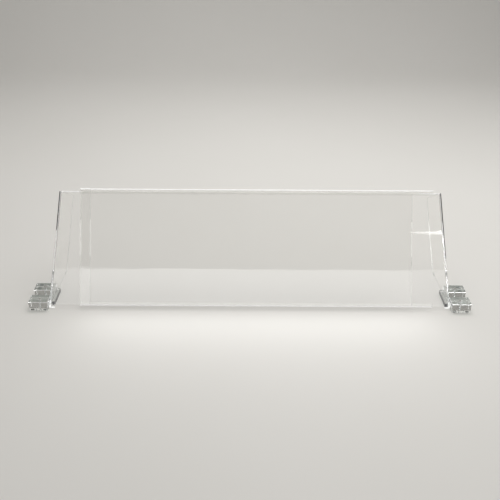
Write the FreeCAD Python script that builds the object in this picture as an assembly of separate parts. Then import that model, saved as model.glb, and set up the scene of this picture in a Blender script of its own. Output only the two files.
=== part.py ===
import FreeCAD, Part
import math
import os

# Extending countertop sneeze guard in clear acrylic, millimetres.
# X runs along the counter, +Y towards the food, Z up, the table is Z = 0.
# Two shields overlap in the middle: the left one is in front and slides in
# the rails that are bonded to the right one.

# ---- driving dimensions ----
WIDTH = 1226.0             # outer face to outer face, at the bottom of the bends
SLANT = 356.0              # height of the shield along its slope
RECLINE = 31.0             # lean of the shield from vertical, degrees
TAPER = 30.0               # inward lean of each bend over the slant height
SHEET = 6.0                # acrylic sheet
WING = 190.0               # width of the side return, square to the bend
BEND_R = 8.0               # outer radius of the heat bend
CORNER_R = 10.0            # rounded free corners
SLOT_Z = 6.0               # floor of the foot slot, where the bend stands
WING_Z = 2.0               # bottom of the side return behind the foot
SHEET_RISE = 12.0          # bottom edge of the long sheet above the bend's end
CORNER_TAB = 18.0          # width of the tab that reaches down into the foot
LEFT_END = 492.0           # inner end of the left sheet
RIGHT_END = -517.0         # inner end of the right sheet
LAYER_GAP = 0.5            # air between the two sheets

RAIL_X0 = -517.0
RAIL_X1 = 555.0
RAIL_WALL = 2.5
RAIL_FLOOR = 3.0
RAIL_LIP = 9.0
RAIL_TOP_GAP = 4.5
STILE_W = 31.0
STILE_T = 3.0
STILE_OVER = 1.0

FOOT_OUT = 57.0            # width of the foot outside the shield
FOOT_LIP = 9.0             # width of the foot inside the shield
FOOT_Y0 = -8.0
FOOT_Y1 = 97.0
LIP_Y0 = 22.0
BASE_Z0 = 2.0
BASE_Z1 = 14.0
BLOCK_Z1 = 32.0
BLOCK_DEPTH = 40.0
SLOT_GAP = 0.25
EDGE = 1.0                 # polished chamfer on the foot blocks

SCREW_R = 2.5
SCREW_HEAD_R = 4.6
SCREW_HEAD_H = 2.6
SCREW_END_Z = 5.0
SCREW_GAP = 0.1
PAD_R = 6.0
BUMPER_LEN = 20.0

SIN = math.sin(math.radians(RECLINE))
COS = math.cos(math.radians(RECLINE))
HALF = WIDTH / 2.0
BIG = 3000.0
V = FreeCAD.Vector

# direction up the slope, direction through the sheet towards the back
UP_SLOPE = V(0, SIN, COS)
THROUGH = V(0, COS, -SIN)
# the outer face of the right side return holds Y and the bend line
LEAN = TAPER / (SLANT * COS)
WING_OUT = V(1.0, 0, LEAN).normalize()


def at(x, v, w):
    """A point from its place along, up and through the sloping sheet."""
    return V(x, v * SIN + w * COS, SLOT_Z + v * COS - w * SIN)


def wing_x(z):
    """Outer face of the right side return at height z."""
    return HALF - LEAN * (z - SLOT_Z)


def prism(points, direction):
    face = Part.Face(Part.makePolygon(points + [points[0]]))
    return face.extrude(direction)


def slope_box(x0, x1, v0, v1, w0, w1):
    """A block in line with the sloping sheet."""
    corners = [at(x0, v0, w0), at(x1, v0, w0), at(x1, v1, w0), at(x0, v1, w0)]
    return prism(corners, THROUGH * (w1 - w0))


def box(x0, x1, y0, y1, z0, z1):
    return Part.makeBox(x1 - x0, y1 - y0, z1 - z0, V(x0, y0, z0))


def mirrored(shape):
    return shape.mirror(V(0, 0, 0), V(1, 0, 0))


def wing_slab(offset, thickness):
    """A wide slab in line with the right side return."""
    start = V(HALF, 0, SLOT_Z) + WING_OUT * offset
    along = V(0, 1, 0)
    up = WING_OUT.cross(along)
    corners = [
        start + along * a + up * b
        for a, b in ((-200, -200), (700, -200), (700, 700), (-200, 700))
    ]
    return prism(corners, WING_OUT * -thickness)


def bend_edges(shape, offset):
    """Long edges of the fold, offset from the outer corner into the material."""
    front = FRONT_W + offset
    corner_dir = (at(HALF - TAPER, SLANT, 0) - at(HALF, 0, 0)).normalize()
    found = []
    for edge in shape.Edges:
        if edge.Length < 100:
            continue
        a = edge.Vertexes[0].Point
        b = edge.Vertexes[-1].Point
        along = (b - a).normalize()
        if abs(abs(along.dot(corner_dir)) - 1) > 1e-4:
            continue
        middle = (a + b) * 0.5
        w = middle.y * COS - (middle.z - SLOT_Z) * SIN
        out = (middle - V(HALF, 0, SLOT_Z)).dot(WING_OUT)
        if abs(w - front) < 0.6 and abs(out + offset) < 0.6:
            found.append(edge)
    return found


def corner_edges(shape, points, reach=6.5):
    """Short edges through the sheet at the free corners."""
    found = []
    for edge in shape.Edges:
        if abs(edge.Length - SHEET) > 0.6:
            continue
        middle = edge.CenterOfMass
        if min((middle - p).Length for p in points) < reach:
            found.append(edge)
    return found


FRONT_W = 0.0


def right_shield_shape(front, end, rise):
    """Long sheet folded back at its right end, seen as a right shield."""
    global FRONT_W
    FRONT_W = front
    sheet = slope_box(end, 900, -120, SLANT, front, front + SHEET)
    outside = wing_slab(400, 400)
    sheet = sheet.cut(outside)
    wing = wing_slab(0, SHEET)
    wing = wing.common(slope_box(0, 900, -120, SLANT, front, front + WING))
    shield = sheet.fuse(wing).removeSplitter()
    shield = shield.makeFillet(BEND_R, bend_edges(shield, 0.0))
    shield = shield.makeFillet(BEND_R - SHEET, bend_edges(shield, SHEET))
    # bottom: level with the slot in the foot, lower behind it
    shield = shield.cut(box(-BIG, BIG, -BIG, FOOT_Y1 + 3, -500, SLOT_Z))
    shield = shield.cut(box(-BIG, BIG, FOOT_Y1 + 2, BIG, -500, WING_Z))
    # the long edge stands clear of the table, apart from the corner tab
    under = [
        at(end - 50, -150, front - 20),
        at(HALF - CORNER_TAB, -150, front - 20),
        at(HALF - CORNER_TAB, rise, front - 20),
        at(end - 50, rise, front - 20),
    ]
    shield = shield.cut(prism(under, THROUGH * (SHEET + 24)))
    rear_top = at(HALF - TAPER, SLANT, front + WING)
    rear_low = V(wing_x(WING_Z), 0, WING_Z)
    rear_low.y = (front + WING + (WING_Z - SLOT_Z) * SIN) / COS
    mid = front + SHEET / 2.0
    free = [rear_top, rear_low, at(end, SLANT, mid)]
    corners = corner_edges(shield, free)
    if corners:
        shield = shield.makeFillet(CORNER_R * 0.6, corners)
    return shield


def rail(v_floor, v_lip, w0, w1, side):
    """Clear channel of three bonded strips: floor, front lip and back lip; side is +1 or -1."""
    lo = min(v_floor, v_floor + side * RAIL_FLOOR)
    hi = max(v_floor, v_floor + side * RAIL_FLOOR)
    floor = slope_box(RAIL_X0, RAIL_X1, lo, hi, w0, w1)
    lip_lo = min(v_lip, v_floor)
    lip_hi = max(v_lip, v_floor)
    front = slope_box(RAIL_X0, RAIL_X1, lip_lo, lip_hi, w0, w0 + RAIL_WALL)
    back = slope_box(RAIL_X0, RAIL_X1, lip_lo, lip_hi, w1 - RAIL_WALL, w1)
    return floor, front, back


def screw_at(x, y):
    """Round-headed screw, its head let into the top of a block."""
    head = Part.makeCylinder(SCREW_HEAD_R, SCREW_HEAD_H, V(x, y, BLOCK_Z1 - SCREW_HEAD_H))
    length = BLOCK_Z1 - SCREW_HEAD_H - SCREW_END_Z
    shank = Part.makeCylinder(SCREW_R, length, V(x, y, SCREW_END_Z))
    socket = Part.makeCylinder(1.6, 1.6, V(x, y, BLOCK_Z1 - 1.6))
    return head.fuse(shank).removeSplitter().cut(socket)


def screw_hole(x, y):
    bore = Part.makeCylinder(SCREW_R + SCREW_GAP, BLOCK_Z1, V(x, y, SCREW_END_Z - 0.5))
    seat = Part.makeCylinder(
        SCREW_HEAD_R + 0.2, SCREW_HEAD_H + 5, V(x, y, BLOCK_Z1 - SCREW_HEAD_H)
    )
    return bore.fuse(seat)


def foot_block(y0, y1):
    """One clear block that backs the side return from outside."""
    x_out = HALF + FOOT_OUT
    block = box(HALF - 20, x_out, y0, y1, BASE_Z1, BLOCK_Z1)
    block = block.cut(wing_slab(SLOT_GAP, 300))
    rim = [
        e for e in block.Edges
        if abs(e.CenterOfMass.z - BLOCK_Z1) < 0.01
        or (abs(e.CenterOfMass.x - x_out) < 0.01 and abs(e.CenterOfMass.z - BASE_Z1) > 1)
    ]
    return block.makeChamfer(EDGE, rim)


def foot_base():
    """Plate under the blocks, slotted for the side return."""
    x_out = HALF + FOOT_OUT
    x_in = HALF - SHEET - FOOT_LIP
    plate = box(HALF + SLOT_GAP + 0.2, x_out, FOOT_Y0, FOOT_Y1, BASE_Z0, BASE_Z1)
    inner = box(x_in, HALF + 5, LIP_Y0, FOOT_Y1, BASE_Z0, BASE_Z1)
    base = plate.fuse(inner).removeSplitter()
    uprights = [
        e for e in base.Edges
        if abs(e.Length - (BASE_Z1 - BASE_Z0)) < 0.01
        and (abs(e.CenterOfMass.x - x_out) < 0.01 or abs(e.CenterOfMass.x - x_in) < 0.01)
    ]
    base = base.makeFillet(2.0, uprights)
    slot = wing_slab(SLOT_GAP, SHEET + 2 * SLOT_GAP)
    slot = slot.common(box(0, 900, -100, 400, SLOT_Z, 100))
    return base.cut(slot)


left_shield = mirrored(right_shield_shape(0.0, -LEFT_END, SHEET_RISE))
right_w = SHEET + LAYER_GAP
right_shield = right_shield_shape(right_w, RIGHT_END, SHEET_RISE - LAYER_GAP)

back_w = right_w + SHEET + RAIL_WALL
front_w = -LAYER_GAP - RAIL_WALL
low_floor = SHEET_RISE - LAYER_GAP
top_floor = SLANT + RAIL_TOP_GAP
bottom_rail = rail(low_floor, low_floor + RAIL_LIP, front_w, back_w, -1)
top_rail = rail(top_floor, top_floor - RAIL_LIP - 3, front_w, back_w, 1)
stile = slope_box(
    RAIL_X0,
    RAIL_X0 + STILE_W,
    low_floor - RAIL_FLOOR - STILE_OVER,
    top_floor + RAIL_FLOOR + STILE_OVER,
    front_w - STILE_T,
    front_w,
)

block_mid = HALF + FOOT_OUT / 2.0
front_mid = FOOT_Y0 + BLOCK_DEPTH / 2.0
rear_mid = FOOT_Y1 - BLOCK_DEPTH / 2.0
screw_spots = [(block_mid - 3, front_mid), (block_mid - 3, rear_mid)]
holes = Part.makeCompound([screw_hole(x, y) for x, y in screw_spots])
base_shape = foot_base()
front_block = foot_block(FOOT_Y0, FOOT_Y0 + BLOCK_DEPTH)
rear_block = foot_block(FOOT_Y1 - BLOCK_DEPTH, FOOT_Y1)
for x, y in screw_spots:
    base_shape = base_shape.cut(screw_hole(x, y))
    front_block = front_block.cut(screw_hole(x, y))
    rear_block = rear_block.cut(screw_hole(x, y))
screws = Part.makeCompound([screw_at(x, y) for x, y in screw_spots])

pad_spots = [
    (HALF + FOOT_OUT - 9, FOOT_Y0 + 9),
    (HALF + FOOT_OUT - 9, FOOT_Y1 - 9),
    (HALF + 10, FOOT_Y0 + 9),
    (HALF, FOOT_Y1 - 9),
]
pads = Part.makeCompound(
    [Part.makeCylinder(PAD_R, BASE_Z0, V(x, y, 0)) for x, y in pad_spots]
)


def wing_bumper(front):
    """Strip under the rear corner of a side return."""
    rear = (front + WING + (WING_Z - SLOT_Z) * SIN) / COS
    x_out = wing_x(WING_Z)
    return box(x_out - SHEET, x_out, rear - BUMPER_LEN - 8, rear - 8, 0, WING_Z)


nodes = {
    "left_shield": left_shield,
    "right_shield": right_shield,
    "top_rail_floor": top_rail[0],
    "top_rail_front_lip": top_rail[1],
    "top_rail_back_lip": top_rail[2],
    "bottom_rail_floor": bottom_rail[0],
    "bottom_rail_front_lip": bottom_rail[1],
    "bottom_rail_back_lip": bottom_rail[2],
    "end_stile": stile,
    "right_foot_base": base_shape,
    "right_foot_front_block": front_block,
    "right_foot_rear_block": rear_block,
    "right_foot_screws": screws,
    "right_foot_pads": pads,
    "right_wing_bumper": wing_bumper(right_w),
    "left_foot_base": mirrored(base_shape),
    "left_foot_front_block": mirrored(front_block),
    "left_foot_rear_block": mirrored(rear_block),
    "left_foot_screws": mirrored(screws),
    "left_foot_pads": mirrored(pads),
    "left_wing_bumper": mirrored(wing_bumper(0.0)),
}

# origin: middle of the whole guard in plan, on the table
low = V(BIG, BIG, BIG)
high = V(-BIG, -BIG, -BIG)
for shape in nodes.values():
    b = shape.BoundBox
    low = V(min(low.x, b.XMin), min(low.y, b.YMin), min(low.z, b.ZMin))
    high = V(max(high.x, b.XMax), max(high.y, b.YMax), max(high.z, b.ZMax))
shift = V(-(low.x + high.x) / 2.0, -(low.y + high.y) / 2.0, -low.z)

os.makedirs("parts", exist_ok=True)
for name, shape in nodes.items():
    placed = shape.copy()
    placed.translate(shift)
    placed.exportStep("parts/" + name + ".step")
    b = placed.BoundBox
    print(name, placed.isValid(), len(placed.Solids), round(placed.Volume), b)
print("shift", shift)
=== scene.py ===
import bpy
import math
from mathutils import Vector, Matrix

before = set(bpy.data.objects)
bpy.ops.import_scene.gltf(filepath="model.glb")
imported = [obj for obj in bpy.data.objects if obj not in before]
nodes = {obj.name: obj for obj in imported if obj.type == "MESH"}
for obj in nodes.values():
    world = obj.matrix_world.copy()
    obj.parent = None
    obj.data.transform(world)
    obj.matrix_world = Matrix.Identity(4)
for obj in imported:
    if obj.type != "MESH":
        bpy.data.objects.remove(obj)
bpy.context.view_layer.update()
scene = bpy.context.scene

# ---------------------------------------------------------------- places on the guard
# metres; UP_SLOPE runs up the leaning sheets, THROUGH from their front to their back
RECLINE = math.radians(31.0)
UP_SLOPE = (0.0, math.sin(RECLINE), math.cos(RECLINE))
THROUGH = (0.0, math.cos(RECLINE), -math.sin(RECLINE))
SIDEWAYS = (1, 0, 0)
UPRIGHT = (0, 0, 1)


def reach(names, direction):
    """Lowest and highest place of some nodes along a direction."""
    places = [Vector(direction).dot(v.co) for n in names for v in nodes[n].data.vertices]
    return min(places), max(places)


RAIL_FLOOR = 0.003
LIP_AND_AIR = 0.003           # rail lip, and the air between it and the sheet
LIP_CLEAR = 0.004             # what lies nearer the middle than the blocks by this is inner lip
SHEET_FRONT = reach(["end_stile"], THROUGH)[1] + LIP_AND_AIR
RETURNS_FROM = SHEET_FRONT + 0.035
BOTTOM_FLOOR = reach(["bottom_rail_floor"], UP_SLOPE)[0] + RAIL_FLOOR
TOP_FLOOR = reach(["top_rail_floor"], UP_SLOPE)[1] - RAIL_FLOOR
SHEET_TOP = reach(["left_shield"], UP_SLOPE)[1]
MIDDLE = 0.5 * (BOTTOM_FLOOR + TOP_FLOOR)
FOLD_X = 0.570                # the heat bends lie beyond this distance from the middle
RAIL_END = 0.516              # the rails stop about here on the left
LIP_X = min(abs(v.co.x) for v in nodes["right_foot_front_block"].data.vertices) - LIP_CLEAR

# stretches of painted highlight and painted shade on the edges, measured up the slope
GLINT_MIDDLE = MIDDLE + 0.029
GLINT_HALF = 0.063
GLINT_FADE = 0.012
# the painted shade of each heat bend starts this far up the slope
LEFT_FOLD_SHADE_FROM = MIDDLE + 0.045
RIGHT_FOLD_SHADE_FROM = MIDDLE - 0.037
FOLD_SHADE_FADE = 0.010
SKIN = 0.001                  # keeps a painted end clear of the face beside it
TOP_BAND = (SHEET_TOP - 0.0032, SHEET_TOP - 0.0022)

# how bright each painted highlight on an edge is, from 0 to 1
TOP_EDGE_SHARE = 0.8
BLOCK_RIM_SHARE = 0.8
LOW_FLOOR_SHARE = 0.7
RIM_SHARE = (0.55, 0.45)      # plain rim of a return, and what the painted glint adds
STILE_SHARE = (0.4, 0.6)      # plain edge of the stile, and what the painted glint adds
MATT_SHARE = 0.85             # how much of a matt edge's transmission is lost
MATT_ROUGHNESS = 0.35
# painted glow that the whitened edges give off though they are no lamp
PAINTED_EDGE_GLOW = 0.5
PAINTED_GLOW_POWER = 4.0

# look of the acrylic
ACRYLIC_IOR = 1.49
CLEAR_TINT = (0.995, 0.995, 0.99)
RAIL_TINT = (0.99, 0.99, 0.985)
BLOCK_TINT = (0.95, 0.965, 0.96)
SHEET_PASSES = (0.95, 0.95, 0.95)
BLOCK_PASSES = (0.82, 0.83, 0.825)
# white of the matt cut edges, which also serves as painted highlight
SAWN_AND_HIGHLIGHT_WHITE = (0.97, 0.97, 0.965, 1)
# black of the painted shade in the heat bends and on the foot's inner lip
PAINTED_SHADE_BLACK = (0.01, 0.01, 0.012, 1)
# colour of the painted edge glow
PAINTED_GLOW_COLOUR = (1.0, 0.99, 0.97, 1)


# ---------------------------------------------------------------- node helpers
def new_material(name):
    mat = bpy.data.materials.new(name)
    mat.use_nodes = True
    tree = mat.node_tree
    tree.nodes.clear()
    return mat, tree


def add(tree, kind, **props):
    node = tree.nodes.new(kind)
    for key, value in props.items():
        setattr(node, key, value)
    return node


def noise(tree, scale, detail=2.0, rough=0.5, stretch=(1, 1, 1), turn=(0, 0, 0)):
    coords = add(tree, "ShaderNodeTexCoord")
    mapping = add(tree, "ShaderNodeMapping")
    mapping.inputs["Scale"].default_value = stretch
    mapping.inputs["Rotation"].default_value = turn
    tree.links.new(coords.outputs["Object"], mapping.inputs["Vector"])
    tex = add(tree, "ShaderNodeTexNoise")
    tex.inputs["Scale"].default_value = scale
    tex.inputs["Detail"].default_value = detail
    tex.inputs["Roughness"].default_value = rough
    tree.links.new(mapping.outputs["Vector"], tex.inputs["Vector"])
    return tex.outputs["Fac"]


def ramp(tree, source, low, high, a, b):
    """Map source from low..high to a..b, clamped."""
    node = add(tree, "ShaderNodeMapRange")
    node.inputs["From Min"].default_value = low
    node.inputs["From Max"].default_value = high
    node.inputs["To Min"].default_value = a
    node.inputs["To Max"].default_value = b
    tree.links.new(source, node.inputs["Value"])
    return node.outputs["Result"]


def rise(tree, source, low, high):
    """0 below low, 1 above high."""
    return ramp(tree, source, low, high, 0.0, 1.0)


def fall(tree, source, low, high):
    """1 below low, 0 above high."""
    return ramp(tree, source, low, high, 1.0, 0.0)


def dot(tree, vector, axis):
    node = add(tree, "ShaderNodeVectorMath", operation="DOT_PRODUCT")
    node.inputs[1].default_value = axis
    tree.links.new(vector, node.inputs[0])
    return node.outputs["Value"]


def maths(tree, operation, *values):
    node = add(tree, "ShaderNodeMath", operation=operation)
    for socket, value in zip(node.inputs, values):
        if isinstance(value, (int, float)):
            socket.default_value = value
        else:
            tree.links.new(value, socket)
    return node.outputs["Value"]


def times(tree, a, b):
    return maths(tree, "MULTIPLY", a, b)


def most(tree, a, b):
    return maths(tree, "MAXIMUM", a, b)


def size_of(tree, value):
    return maths(tree, "ABSOLUTE", value)


def opposite(tree, value):
    """1 where value is 0, and 0 where it is 1."""
    return maths(tree, "SUBTRACT", 1.0, value)


def mixed(tree, factor, a, b):
    """Colour a where factor is 0, colour b where it is 1."""
    node = add(tree, "ShaderNodeMix", data_type="RGBA")
    tree.links.new(factor, node.inputs["Factor"])
    node.inputs["B"].default_value = b
    if isinstance(a, tuple):
        node.inputs["A"].default_value = a
    else:
        tree.links.new(a, node.inputs["A"])
    return node.outputs["Result"]


def surface_and_place(tree):
    """Normal and position in the part's own frame."""
    coords = add(tree, "ShaderNodeTexCoord")
    return coords.outputs["Normal"], coords.outputs["Object"]


# ---------------------------------------------------------------- masks for painted highlights and painted shade on edges
def glint(tree, along):
    """Painted highlight: 1 on the stretch where the upright edges would catch the window, a little
    above halfway up the slope.
    """
    away = size_of(tree, maths(tree, "SUBTRACT", along, GLINT_MIDDLE))
    return fall(tree, away, GLINT_HALF - GLINT_FADE, GLINT_HALF)


def cut_edges_and_highlights(tree):
    """1 on the matt cut edges, which are whitened as a painted highlight: those that face along the
    slope, and all round the returns.
    """
    normal, place = surface_and_place(tree)
    faces_up = size_of(tree, dot(tree, normal, UP_SLOPE))
    faces_side = size_of(tree, dot(tree, normal, SIDEWAYS))
    x = dot(tree, place, SIDEWAYS)
    along = dot(tree, place, UP_SLOPE)
    bright = glint(tree, along)
    behind = maths(tree, "GREATER_THAN", dot(tree, place, THROUGH), RETURNS_FROM)
    # the upright end of each long sheet, whitened only in the painted glint stretch
    inside = maths(tree, "LESS_THAN", size_of(tree, x), FOLD_X)
    end = times(tree, rise(tree, faces_side, 0.45, 0.75), inside)
    end = times(tree, end, bright)
    # long edges, and beyond the rails a painted highlight band just under the top, standing for the
    # top edge seen through its rounded corner
    on_sheet = most(tree, rise(tree, faces_up, 0.25, 0.55), end)
    top = rise(tree, along, *TOP_BAND)
    bare = maths(tree, "GREATER_THAN", size_of(tree, x), RAIL_END)
    on_sheet = most(tree, on_sheet, times(tree, times(tree, top, bare), TOP_EDGE_SHARE))
    # rim of each side return; the right one gets the painted glint on top
    rim = fall(tree, faces_side, 0.55, 0.80)
    right = maths(tree, "GREATER_THAN", x, 0.0)
    plain, extra = RIM_SHARE
    share = maths(tree, "MULTIPLY_ADD", times(tree, right, bright), extra, plain)
    on_return = times(tree, rim, share)
    before = opposite(tree, behind)
    return most(tree, times(tree, on_sheet, before), times(tree, on_return, behind))


def painted_fold_shade(tree):
    """Painted shade: 1 on the outside of the heat bend, coloured black where the eye would meet only
    inner reflections.
    """
    normal, place = surface_and_place(tree)
    out_front = times(tree, dot(tree, normal, THROUGH), -1.0)
    turned = times(tree, rise(tree, out_front, 0.06, 0.16), fall(tree, out_front, 0.90, 0.985))
    x = dot(tree, place, SIDEWAYS)
    outside = maths(tree, "GREATER_THAN", size_of(tree, x), FOLD_X)
    along = dot(tree, place, UP_SLOPE)
    left_part = rise(tree, along, LEFT_FOLD_SHADE_FROM, LEFT_FOLD_SHADE_FROM + FOLD_SHADE_FADE)
    right_part = rise(tree, along, RIGHT_FOLD_SHADE_FROM, RIGHT_FOLD_SHADE_FROM + FOLD_SHADE_FADE)
    right = maths(tree, "GREATER_THAN", x, 0.0)
    left = opposite(tree, right)
    high = maths(tree, "ADD", times(tree, left_part, left), times(tree, right_part, right))
    return times(tree, times(tree, turned, outside), high)


def painted_block_rim_highlight(tree):
    """Painted highlight on the polished chamfers of the foot blocks."""
    normal, _ = surface_and_place(tree)
    parts = add(tree, "ShaderNodeSeparateXYZ")
    tree.links.new(normal, parts.inputs[0])
    widest = size_of(tree, parts.outputs["X"])
    for axis in ("Y", "Z"):
        widest = most(tree, widest, size_of(tree, parts.outputs[axis]))
    return ramp(tree, widest, 0.80, 0.95, BLOCK_RIM_SHARE, 0.0)


def painted_lip_shade(tree):
    """Painted shade: 1 on the upright faces of the foot's inner lip, which are coloured black."""
    normal, place = surface_and_place(tree)
    upright = fall(tree, size_of(tree, dot(tree, normal, UPRIGHT)), 0.3, 0.6)
    distance = size_of(tree, dot(tree, place, SIDEWAYS))
    return times(tree, upright, maths(tree, "LESS_THAN", distance, LIP_X))


def painted_channel_floor_highlight(tree):
    """Painted highlight and glow on the front of the floor of each guide channel, standing for a lit
    edge.
    """
    normal, place = surface_and_place(tree)
    along = dot(tree, place, UP_SLOPE)
    faces_out = rise(tree, size_of(tree, dot(tree, normal, THROUGH)), 0.4, 0.8)
    low = times(tree, maths(tree, "LESS_THAN", along, BOTTOM_FLOOR - SKIN), LOW_FLOOR_SHARE)
    high = maths(tree, "GREATER_THAN", along, TOP_FLOOR + SKIN)
    return times(tree, faces_out, most(tree, low, high))


def painted_stile_highlight(tree):
    """Painted highlight on the two upright edges of the stile and on its top."""
    normal, place = surface_and_place(tree)
    along = dot(tree, place, UP_SLOPE)
    faces_side = size_of(tree, dot(tree, normal, SIDEWAYS))
    plain, extra = STILE_SHARE
    share = maths(tree, "MULTIPLY_ADD", glint(tree, along), extra, plain)
    ends = times(tree, rise(tree, faces_side, 0.30, 0.60), share)
    top = maths(tree, "GREATER_THAN", along, TOP_FLOOR + RAIL_FLOOR)
    return most(tree, ends, top)


# ---------------------------------------------------------------- materials
def paint_edges(tree, glass, tint, rough, matt_and_highlight, painted_shade):
    """Roughen the picked edges and whiten them as a painted highlight, blacken the picked faces as
    painted shade; returns roughness.
    """
    edge = matt_and_highlight(tree)
    saw = noise(tree, 700.0, 2.0, 0.6, (1.0, 0.1, 0.1))
    matt = times(tree, edge, ramp(tree, saw, 0.3, 0.7, 0.75, 1.0))
    tree.links.new(opposite(tree, times(tree, matt, MATT_SHARE)), glass.inputs["Transmission Weight"])
    shade = mixed(tree, edge, (*tint, 1), SAWN_AND_HIGHLIGHT_WHITE)
    if painted_shade is not None:
        shade = mixed(tree, painted_shade(tree), shade, PAINTED_SHADE_BLACK)
    tree.links.new(shade, glass.inputs["Base Color"])
    # painted glow: the whitened edges emit light, standing for light gathered by the sheet coming out
    # of its cut edge
    glass.inputs["Emission Color"].default_value = PAINTED_GLOW_COLOUR
    glow = times(tree, maths(tree, "POWER", matt, PAINTED_GLOW_POWER), PAINTED_EDGE_GLOW)
    tree.links.new(glow, glass.inputs["Emission Strength"])
    return most(tree, rough, times(tree, matt, MATT_ROUGHNESS))


def ripples(tree, wave, scratch):
    """Normal of the slow waves of the cast sheet, with hairline scratches over them."""
    slow = add(tree, "ShaderNodeBump")
    slow.inputs["Strength"].default_value = wave
    slow.inputs["Distance"].default_value = 0.02
    tree.links.new(noise(tree, 3.0, 1.0, 0.4), slow.inputs["Height"])
    hair = add(tree, "ShaderNodeBump")
    hair.inputs["Strength"].default_value = scratch
    hair.inputs["Distance"].default_value = 0.0005
    streaks = noise(tree, 90.0, 2.0, 0.5, (0.04, 1.0, 1.0), (0.3, 0.2, 0.5))
    tree.links.new(streaks, hair.inputs["Height"])
    tree.links.new(slow.outputs["Normal"], hair.inputs["Normal"])
    return hair.outputs["Normal"]


def acrylic(name, tint, lets_through, smudge, wave, scratch, matt_and_highlight=None, painted_shade=None):
    """Clear acrylic: refracts for the camera, lets lamp light straight through."""
    mat, tree = new_material(name)
    glass = add(tree, "ShaderNodeBsdfPrincipled")
    glass.inputs["IOR"].default_value = ACRYLIC_IOR
    glass.inputs["Transmission Weight"].default_value = 1.0
    glass.inputs["Base Color"].default_value = (*tint, 1)
    # faint hand smudges, only in patches
    rough = ramp(tree, noise(tree, 7.0, 4.0, 0.6), 0.50, 0.75, 0.0, smudge)
    if matt_and_highlight is not None:
        rough = paint_edges(tree, glass, tint, rough, matt_and_highlight, painted_shade)
    tree.links.new(rough, glass.inputs["Roughness"])
    tree.links.new(ripples(tree, wave, scratch), glass.inputs["Normal"])
    # rays to lamps, and rays that gather light for the floor, pass straight through
    clear = add(tree, "ShaderNodeBsdfTransparent")
    clear.inputs["Color"].default_value = (*lets_through, 1)
    path = add(tree, "ShaderNodeLightPath")
    straight = most(tree, path.outputs["Is Shadow Ray"], path.outputs["Is Diffuse Ray"])
    mix = add(tree, "ShaderNodeMixShader")
    tree.links.new(straight, mix.inputs["Fac"])
    tree.links.new(glass.outputs["BSDF"], mix.inputs[1])
    tree.links.new(clear.outputs["BSDF"], mix.inputs[2])
    out = add(tree, "ShaderNodeOutputMaterial")
    tree.links.new(mix.outputs["Shader"], out.inputs["Surface"])
    return mat


def speckled(name, grain, colours, roughness):
    """Opaque surface whose colour and roughness follow one fine grain."""
    mat, tree = new_material(name)
    shader = add(tree, "ShaderNodeBsdfPrincipled")
    specks = noise(tree, *grain)
    tree.links.new(mixed(tree, specks, *colours), shader.inputs["Base Color"])
    tree.links.new(ramp(tree, specks, 0.3, 0.7, *roughness), shader.inputs["Roughness"])
    out = add(tree, "ShaderNodeOutputMaterial")
    tree.links.new(shader.outputs["BSDF"], out.inputs["Surface"])
    return mat, shader


def steel(name):
    mat, metal = speckled(
        name, (900.0, 2.0), ((0.80, 0.80, 0.79, 1), (0.94, 0.94, 0.93, 1)), (0.16, 0.32)
    )
    metal.inputs["Metallic"].default_value = 1.0
    return mat


def soft_pad(name):
    mat, pad = speckled(
        name, (400.0, 3.0), ((0.52, 0.53, 0.52, 1), (0.68, 0.69, 0.67, 1)), (0.35, 0.55)
    )
    pad.inputs["Transmission Weight"].default_value = 0.4
    return mat


sheet_mat = acrylic("clear_sheet", CLEAR_TINT, SHEET_PASSES, 0.03, 0.006, 0.03, cut_edges_and_highlights, painted_fold_shade)
rail_mat = acrylic("clear_rail", RAIL_TINT, SHEET_PASSES, 0.04, 0.02, 0.05, painted_channel_floor_highlight)
lip_mat = acrylic("clear_lip", RAIL_TINT, SHEET_PASSES, 0.04, 0.02, 0.05)
stile_mat = acrylic("clear_stile", RAIL_TINT, SHEET_PASSES, 0.04, 0.02, 0.05, painted_stile_highlight)
block_mat = acrylic("clear_block", BLOCK_TINT, BLOCK_PASSES, 0.03, 0.01, 0.04, painted_block_rim_highlight, painted_lip_shade)
steel_mat = steel("stainless")
pad_mat = soft_pad("soft_clear_pad")

finish = {
    "sheet": (sheet_mat, ("left_shield", "right_shield")),
    "rail": (rail_mat, ("top_rail_floor", "bottom_rail_floor")),
    "foot": (block_mat, tuple(n for n in nodes if "_foot_" in n and ("base" in n or "block" in n))),
    "screw": (steel_mat, ("left_foot_screws", "right_foot_screws")),
    "pad": (pad_mat, tuple(n for n in nodes if "pads" in n or "bumper" in n)),
}
for slot, (mat, names) in finish.items():
    for n in names:
        obj = nodes[n]
        obj.data.materials.clear()
        obj.data.materials.append(mat)
rail_kin = {n: lip_mat for n in nodes if "_rail_" in n and "lip" in n}
rail_kin["end_stile"] = stile_mat
for n, mat in rail_kin.items():
    nodes[n].data.materials.clear()
    nodes[n].data.materials.append(mat)

# ---------------------------------------------------------------- modifiers
# a film of air round each bonded or bolted piece, so that light crosses the joints
AIR_FILM = 0.00012
for n in nodes:
    if "_block" in n or "rail" in n or "stile" in n:
        film = nodes[n].modifiers.new("air_film", "DISPLACE")
        film.strength = -AIR_FILM
        film.mid_level = 0.0

# rounded, flame-polished edges: width in metres and segments, by a word in the node's name
POLISH = {
    "shield": (0.0018, 6),
    "rail": (0.0003, 2),
    "stile": (0.0010, 6),
    "screws": (0.0014, 4),
}
SHARP_FROM = math.radians(40.0)
for n in nodes:
    for word, (width, segments) in POLISH.items():
        if word in n:
            bevel = nodes[n].modifiers.new("polished_edge", "BEVEL")
            bevel.width = width
            bevel.segments = segments
            bevel.limit_method = "ANGLE"
            bevel.angle_limit = SHARP_FROM
            bevel.harden_normals = False
            bevel.use_clamp_overlap = True

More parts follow.
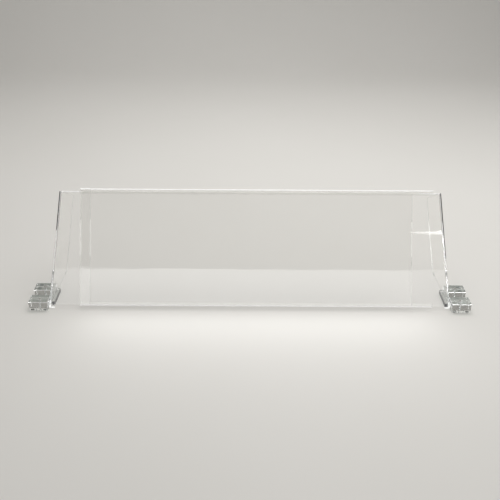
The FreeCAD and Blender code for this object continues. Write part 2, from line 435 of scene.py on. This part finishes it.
# ---------------------------------------------------------------- floor
FLOOR_HALF = 9.0
FLOOR_NEAR = -7.0
SWEEP_FROM = 2.2              # where the floor starts to curve up
SWEEP_R = 1.6
SWEEP_STEPS = 16
BACKDROP_TOP = 5.0


def mesh_object(name, verts, faces, mat):
    mesh = bpy.data.meshes.new(name)
    mesh.from_pydata(verts, [], faces)
    mesh.update()
    obj = bpy.data.objects.new(name, mesh)
    scene.collection.objects.link(obj)
    obj.data.materials.append(mat)
    return obj


def pale_floor():
    mat, tree = new_material("pale_floor")
    base = add(tree, "ShaderNodeBsdfPrincipled")
    base.inputs["Roughness"].default_value = 0.6
    base.inputs["Specular IOR Level"].default_value = 0.2
    cloud = noise(tree, 1.2, 3.0, 0.5)
    colour = mixed(tree, cloud, (0.69, 0.675, 0.64, 1), (0.73, 0.715, 0.685, 1))
    tree.links.new(colour, base.inputs["Base Color"])
    out = add(tree, "ShaderNodeOutputMaterial")
    tree.links.new(base.outputs["BSDF"], out.inputs["Surface"])
    return mat


def sweep():
    """Floor that curves up into a backdrop far behind."""
    profile = [(FLOOR_NEAR, 0.0), (SWEEP_FROM, 0.0)]
    for i in range(1, SWEEP_STEPS + 1):
        a = math.radians(90.0 * i / SWEEP_STEPS)
        profile.append((SWEEP_FROM + SWEEP_R * math.sin(a), SWEEP_R - SWEEP_R * math.cos(a)))
    profile.append((SWEEP_FROM + SWEEP_R, BACKDROP_TOP))
    verts = [(x, y, z) for y, z in profile for x in (-FLOOR_HALF, FLOOR_HALF)]
    faces = [(2 * i, 2 * i + 1, 2 * i + 3, 2 * i + 2) for i in range(len(profile) - 1)]
    obj = mesh_object("floor", verts, faces, pale_floor())
    for poly in obj.data.polygons:
        poly.use_smooth = True
    return obj


floor = sweep()


# ---------------------------------------------------------------- light
def card(name, centre, size, look_at, watts, colour=(1, 1, 1)):
    """Soft rectangular lamp."""
    light = bpy.data.lights.new(name, "AREA")
    light.shape = "RECTANGLE"
    light.size, light.size_y = size
    light.energy = watts
    light.color = colour
    obj = bpy.data.objects.new(name, light)
    scene.collection.objects.link(obj)
    obj.location = centre
    aim = Vector(look_at) - Vector(centre)
    obj.rotation_mode = "QUATERNION"
    obj.rotation_quaternion = aim.to_track_quat("-Z", "Y")
    return obj


def glowing(name, strength):
    mat, tree = new_material(name)
    glow = add(tree, "ShaderNodeEmission")
    glow.inputs["Strength"].default_value = strength
    out = add(tree, "ShaderNodeOutputMaterial")
    tree.links.new(glow.outputs["Emission"], out.inputs["Surface"])
    return mat


def wall(name, y, z0, z1, half, strength):
    """Upright glowing wall, square to Y."""
    verts = [(-half, y, z0), (half, y, z0), (half, y, z1), (-half, y, z1)]
    return mesh_object(name, verts, [(0, 1, 2, 3)], glowing(name, strength))


WINDOW_DISTANCE = 3.0
SHIELD_MIDDLE = Vector((0.0, -0.061, 0.191))


def window(name, steps, heights, centre, strength):
    """Bright pane at the right, in the plane square to the slope of the shield.

    steps are degrees from +X towards the customer, heights are half heights along the slope.
    """
    verts = []
    for sign in (1.0, -1.0):
        for degrees, height in zip(steps, heights):
            a = math.radians(degrees)
            to_customer = math.sin(a)
            ray = Vector(
                (math.cos(a), -to_customer * math.cos(RECLINE), to_customer * math.sin(RECLINE))
            )
            up_slope = (centre + sign * height) * Vector(UP_SLOPE)
            verts.append(SHIELD_MIDDLE + WINDOW_DISTANCE * ray + up_slope)
    count = len(steps)
    faces = [(i, i + 1, i + 1 + count, i + count) for i in range(count - 1)]
    obj = mesh_object(name, verts, faces, glowing(name, strength))
    obj.visible_diffuse = False
    obj.visible_camera = False
    return obj


world = bpy.data.worlds.new("studio")
scene.world = world
world.use_nodes = True
background = world.node_tree.nodes["Background"]
background.inputs["Color"].default_value = (1.0, 0.985, 0.96, 1)
background.inputs["Strength"].default_value = 0.30

key = card("overhead", (0.35, 0.8, 2.6), (2.6, 1.4), (0.0, -0.1, 0.0), 58.5)
side = card("side", (2.6, 0.2, 1.3), (0.8, 0.8), (0.0, -0.1, 0.0), 6.0)
# what the shield throws on to the table in front of it
bounce = card("bounce", (0.02, -0.21, 0.12), (1.05, 0.13), (0.02, -0.52, 0.0), 0.42, (0.98, 0.99, 1.0))
bounce.visible_camera = bounce.visible_glossy = bounce.visible_transmission = False
# upright pale wall behind the camera: the lower half of the shield mirrors it
front_wall = wall("front_wall", y=-5.0, z0=0.02, z1=2.84, half=5.0, strength=1.2)
# the right bend mirrors the window as a glow, with a tail that thins out along the sheet
window_bright = window(
    "window_bright", (8, 20, 32, 40, 46, 61), (0.12, 0.12, 0.10, 0.07, 0.04, 0.035), 0.075, 9.0
)
window_edge = window(
    "window_edge", (61.5, 63, 64, 66, 67.5), (0.035, 0.012, 0.009, 0.003, 0.001), 0.086, 5.0
)

# ---------------------------------------------------------------- camera
CAMERA_PLACE = (-0.0043, -1.6660 - 0.1719, 1.2249)
YAW = math.radians(0.11)
PITCH = math.radians(31.2)
ROLL = math.radians(0.39)
SENSOR = 36.0                 # millimetres
FOCAL = 675.5 / 500.0         # focal length over the sensor's width

cam_data = bpy.data.cameras.new("camera")
cam = bpy.data.objects.new("camera", cam_data)
scene.collection.objects.link(cam)
forward = Vector((math.sin(YAW) * math.cos(PITCH), math.cos(YAW) * math.cos(PITCH), -math.sin(PITCH)))
level_right = Vector((math.cos(YAW), -math.sin(YAW), 0.0))
level_up = level_right.cross(forward)
right = math.cos(ROLL) * level_right + math.sin(ROLL) * level_up
up = -math.sin(ROLL) * level_right + math.cos(ROLL) * level_up
basis = Matrix((right, up, -forward)).transposed().to_4x4()
cam.matrix_world = Matrix.Translation(CAMERA_PLACE) @ basis
cam_data.sensor_width = SENSOR
cam_data.lens = FOCAL * SENSOR
cam_data.clip_start = 0.05
cam_data.clip_end = 60.0
scene.camera = cam

# light that is trapped in the clear sheets needs many bounces to come out
scene.cycles.max_bounces = 32
scene.cycles.transmission_bounces = 32
scene.cycles.glossy_bounces = 12
scene.cycles.transparent_max_bounces = 32
scene.view_settings.view_transform = "Standard"
scene.view_settings.look = "None"
